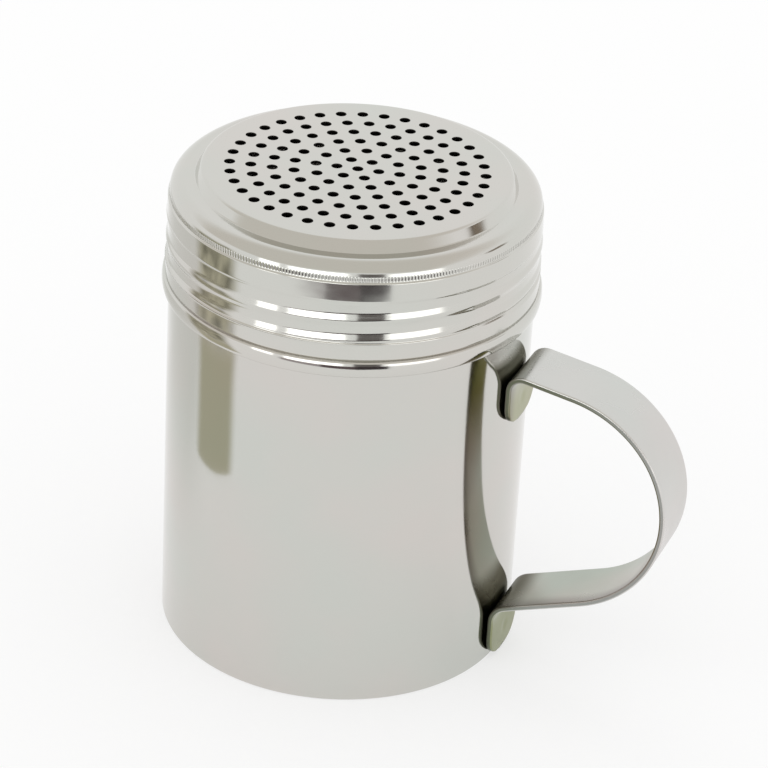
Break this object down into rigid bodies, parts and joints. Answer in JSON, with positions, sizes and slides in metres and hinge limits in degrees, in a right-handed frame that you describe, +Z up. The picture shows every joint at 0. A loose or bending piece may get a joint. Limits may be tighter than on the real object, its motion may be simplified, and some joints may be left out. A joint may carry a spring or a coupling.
{
  "type": "handled spice shaker",
  "caption": "Straight steel cup with a strap handle at its side and a perforated domed screw lid, for dredging spice, sugar or flour.",
  "frame": {"origin": "middle of the cup's flat bottom, on the surface that it stands on", "axes": "+Z up along the axis of the cup and the lid, +X from that axis towards the handle"},
  "size_m": [0.1044, 0.0724, 0.0964],
  "materials": {
    "polished_steel": "mirror-polished stainless sheet",
    "satin_steel": "satin stainless strip"
  },
  "bodies": {
    "cup": {"cup": "polished_steel", "handle": "satin_steel"},
    "lid_lift": {"lid_hem": "polished_steel"},
    "lid": {"lid_shell": "polished_steel"}
  },
  "joints": [
    {"name": "lid_lift", "type": "slide", "parent": "cup", "child": "lid_lift", "axis": [0, 0, 1], "range_m": [0, 0.0216]},
    {"name": "lid_turn", "type": "hinge", "parent": "lid_lift", "child": "lid", "pos_m": [0, 0, 0.0721], "axis": [0, 0, 1], "range_deg": [0, 1890]}
  ],
  "couplings": [
    {"joint": "lid_lift", "follows": "lid_turn", "m_per_rad": 0.00065253}
  ]
}
